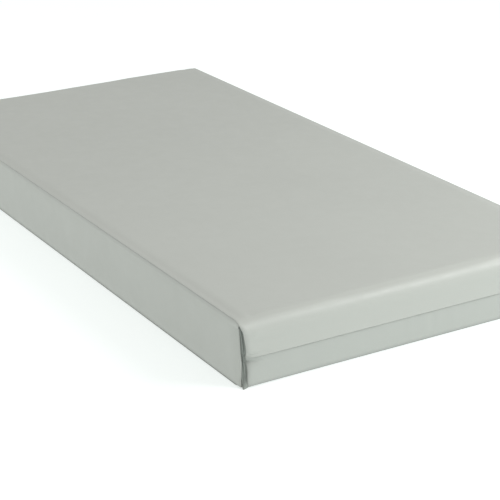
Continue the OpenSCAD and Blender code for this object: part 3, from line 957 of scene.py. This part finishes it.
def build_firm_foam(name, node):
    """A block of the firm border: it follows the end rolls, leaves the zip its channel and gives way behind
    the corner grooves."""
    low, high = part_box(node)
    foam_x, foam_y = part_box("foam_base")[1].x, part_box("foam_base")[1].y
    foam_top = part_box("foot_wall")[1].z
    roll = END_ROLL - (FOOT_X - foam_x)
    channel_low, channel_high = LOWER_TAPE_LOW.z - 0.004, UPPER_TAPE_HIGH.z + 0.003
    channel_x = UPPER_TAPE_LOW.x - 0.0025
    turns = np.linspace(0, math.pi / 2, 5)
    levels = [(low.z + FOAM_EDGE * (1 - math.sin(a)), FOAM_EDGE * (1 - math.cos(a))) for a in turns[::-1]]
    levels += [(z, 0.0) for z in (channel_low - 0.001, channel_low, channel_high, channel_high + 0.001)]
    levels += [(foam_top - roll * (1 - math.sin(a)), 0.0) for a in np.linspace(0, 1.2, 10)]
    levels += [(high.z - FOAM_EDGE * (1 - math.sin(a)), FOAM_EDGE * (1 - math.cos(a))) for a in turns]
    levels = sorted(level for level in levels if low.z <= level[0] <= high.z)

    def corner_r(x, y):
        return FOAM_CORNER if abs(x) > foam_x - 0.035 and abs(y) > foam_y - 0.02 else FOAM_EDGE

    verts, count = [], 0
    for z, inset in levels:
        reach = foam_x - float(quarter_drop(roll, z - (foam_top - roll)))
        foot = min(reach, channel_x) if channel_low <= z <= channel_high else reach
        ring = rounded_outline(max(low.x, -reach) + inset, min(high.x, foot) - inset,
                               low.y + inset, high.y - inset, corner_r)
        count = len(ring)
        verts += [(x, y, z) for x, y in ring]
    obj = new_object(name, verts, tube_faces(len(levels), count), firm_foam)
    finish_foam(obj, node)


def build_soft_foam(name, node, material):
    """A soft pad with its cells cut from above: the CAD node's own shape with its cut edges softened."""
    finish_foam(softened_copy(name, node, material, 0.0012), node)


# ---------------------------------------------------------------------------
# Stage, light and camera
# ---------------------------------------------------------------------------

WALL_LIGHT = (0.93, 0.965, 0.955, 1)
CEILING_LIGHT = (1.0, 0.985, 0.965, 1)
WORLD_STRENGTH = 0.71

CAMERA_PLACE = (3.691, -1.979, 1.523)
CAMERA_LENS = 119.2         # millimetres, on a sensor 36 mm wide
CAMERA_HEADING = 150.45     # degrees from +X, anticlockwise seen from above
CAMERA_DOWN = 21.07         # degrees below the horizontal
CAMERA_ROLL = 1.29          # degrees


def build_stage():
    m = Nodes("studio_floor")
    shade = m.mix(m.spread(m.noise(0.4), 0.0, 1.0), (0.47, 0.49, 0.485, 1), (0.49, 0.51, 0.505, 1))
    m.set(Base_Color=shade, Roughness=m.spread(m.noise(2.0), 0.85, 0.95),
          Emission_Color=(0.96, 1.0, 0.985, 1), Emission_Strength=0.62)
    size, level = 40.0, -0.0004
    corners = [(-size, -size, level), (size, -size, level), (size, size, level), (-size, size, level)]
    floor = new_object("floor", corners, [(0, 1, 2, 3)], m.material)


def build_world():
    """A white studio: a little cooler towards the walls and a little warmer overhead."""
    world = bpy.data.worlds.new("studio")
    world.use_nodes = True
    tree = world.node_tree
    place = tree.nodes.new("ShaderNodeTexCoord")
    height = tree.nodes.new("ShaderNodeSeparateXYZ")
    tree.links.new(place.outputs["Generated"], height.inputs[0])
    ramp = tree.nodes.new("ShaderNodeValToRGB")
    ramp.color_ramp.elements[0].color = WALL_LIGHT
    ramp.color_ramp.elements[1].color = CEILING_LIGHT
    tree.links.new(height.outputs["Z"], ramp.inputs[0])
    tree.links.new(ramp.outputs[0], tree.nodes["Background"].inputs["Color"])
    tree.nodes["Background"].inputs["Strength"].default_value = WORLD_STRENGTH
    bpy.context.scene.world = world


def area_light(name, place, target, size, power, colour=(1, 1, 1)):
    light = bpy.data.lights.new(name, "AREA")
    light.shape = "RECTANGLE"
    light.size, light.size_y = size
    light.energy = power
    light.color = colour
    obj = bpy.data.objects.new(name, light)
    bpy.context.scene.collection.objects.link(obj)
    obj.location = place
    obj.rotation_euler = (Vector(target) - Vector(place)).to_track_quat("-Z", "Y").to_euler()


def build_camera():
    """The camera stands off the foot end's right corner and looks down along the mattress."""
    camera = bpy.data.cameras.new("camera")
    camera.sensor_width = 36.0
    camera.lens = CAMERA_LENS
    camera.clip_end = 200.0
    obj = bpy.data.objects.new("camera", camera)
    bpy.context.scene.collection.objects.link(obj)
    heading, down = math.radians(CAMERA_HEADING), math.radians(CAMERA_DOWN)
    look = Vector((math.cos(heading) * math.cos(down), math.sin(heading) * math.cos(down), -math.sin(down)))
    turn = look.to_track_quat("-Z", "Y").to_matrix() @ Matrix.Rotation(-math.radians(CAMERA_ROLL), 3, "Z")
    obj.matrix_world = Matrix.Translation(CAMERA_PLACE) @ turn.to_4x4()
    bpy.context.scene.camera = obj


build_stage()
build_world()
area_light("key", place=(2.45, 1.95, 2.05), target=(0.9, 0.2, 0.1), size=(1.6, 1.2), power=67,
           colour=(0.985, 1.0, 1.0))
area_light("back", place=(-2.6, -2.6, 1.7), target=(-0.2, -0.2, 0.1), size=(2.4, 1.2), power=14)
build_camera()
bpy.context.scene.view_settings.view_transform = "Standard"

build_top_cover()
build_base_cover()
for node, side in (("side_panel_right", -1), ("side_panel_left", 1)):
    build_side_panel(node + "_fabric", node, side)
for end, end_name in ((1, "foot"), (-1, "head")):
    for side, side_name in ((1, "left"), (-1, "right")):
        corner = f"{end_name}_{side_name}"
        build_corner_seam(end, side, "corner_fold_" + corner, "corner_seam_" + corner)
build_zip()
build_stops()
build_head_seam()
build_sock()

for name, node in (("base_foam", "foam_base"), ("side_foam_left", "side_wall_left"),
                   ("side_foam_right", "side_wall_right"), ("head_foam", "head_wall"),
                   ("foot_foam", "foot_wall")):
    build_firm_foam(name, node)
for zone, slot, material in (("head", "soft_foam", soft_foam), ("body", "soft_foam", soft_foam),
                             ("heel", "heel_foam", heel_foam)):
    build_soft_foam(zone + "_foam_pad", zone + "_pad", material)

for node in ("zip_slider", "puller_pin", "zip_puller"):
    obj = bpy.data.objects[node]
    for material_slot in obj.material_slots:
        material_slot.material = zip_metal
